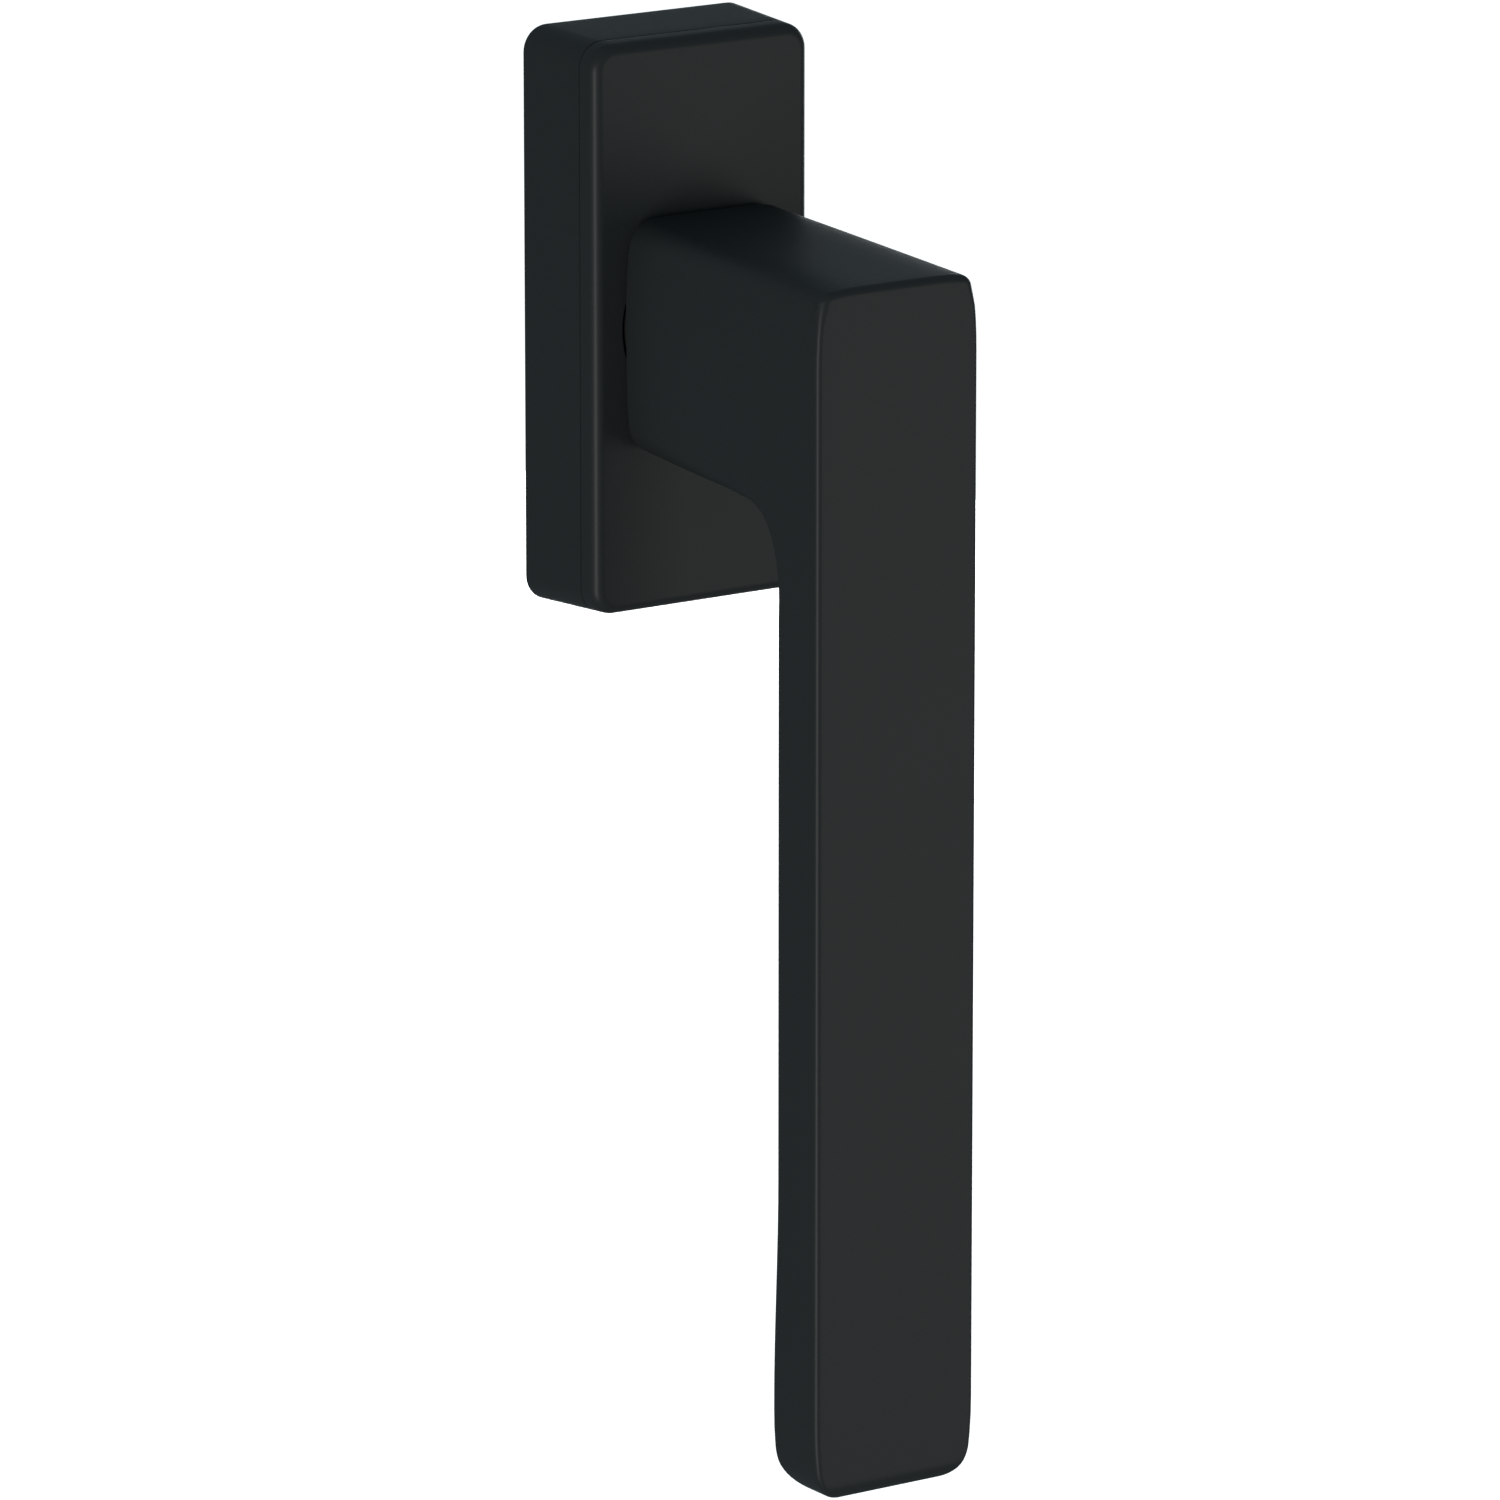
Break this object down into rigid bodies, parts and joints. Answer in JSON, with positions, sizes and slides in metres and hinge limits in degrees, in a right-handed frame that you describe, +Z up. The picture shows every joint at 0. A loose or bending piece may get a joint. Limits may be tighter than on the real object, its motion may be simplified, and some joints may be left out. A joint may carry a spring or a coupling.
{
  "type": "tilt turn handle",
  "caption": "Matt black window handle with a slim rectangular rose, an angled neck and a flat straight grip, turning on a square spindle, with a swivelling screw cover.",
  "frame": {"origin": "on the spindle axis, in the plane where the rose meets the window sash", "axes": "+Y into the sash along the spindle, -Y towards the hand, +Z up, away from the hanging grip, +X to the right seen from the room"},
  "size_m": [0.0306, 0.0704, 0.1617],
  "materials": {
    "black_coat": "matt black powder coat on a die casting",
    "zinc_plated_steel": "zinc plated",
    "bright_steel": "bright",
    "spring_steel": "blued spring steel",
    "dark_polyamide": "moulded, fine matt",
    "pale_polyamide": "moulded, fine matt"
  },
  "bodies": {
    "rose": {"rose_body": "black_coat", "bearing_bush": "dark_polyamide", "base_plate": "zinc_plated_steel", "detent_spring_right": "spring_steel", "detent_spring_left": "spring_steel", "fixing_screw_upper": "zinc_plated_steel", "fixing_screw_lower": "zinc_plated_steel", "plate_screw_1": "bright_steel", "plate_screw_2": "bright_steel", "plate_screw_3": "bright_steel", "plate_screw_4": "bright_steel"},
    "handle": {"lever": "black_coat", "spindle": "zinc_plated_steel", "spindle_pin": "bright_steel", "wave_washer": "spring_steel", "retaining_washer": "zinc_plated_steel", "circlip": "spring_steel", "detent_cam": "pale_polyamide"},
    "cover_carrier": {"cover_snap_ring": "spring_steel"},
    "cover": {"rose_cover": "black_coat"}
  },
  "joints": [
    {"name": "handle_turn", "type": "hinge", "parent": "rose", "child": "handle", "pos_m": [0, 0, 0], "axis": [0, -1, 0], "range_deg": [0, 180], "deforming": ["detent_spring_right", "detent_spring_left"]},
    {"name": "cover_lift", "type": "slide", "parent": "rose", "child": "cover_carrier", "axis": [0, -1, 0], "range_m": [0, 0.0006]},
    {"name": "cover_turn", "type": "hinge", "parent": "cover_carrier", "child": "cover", "pos_m": [0, 0, 0], "axis": [0, -1, 0], "range_deg": [0, 90]}
  ]
}
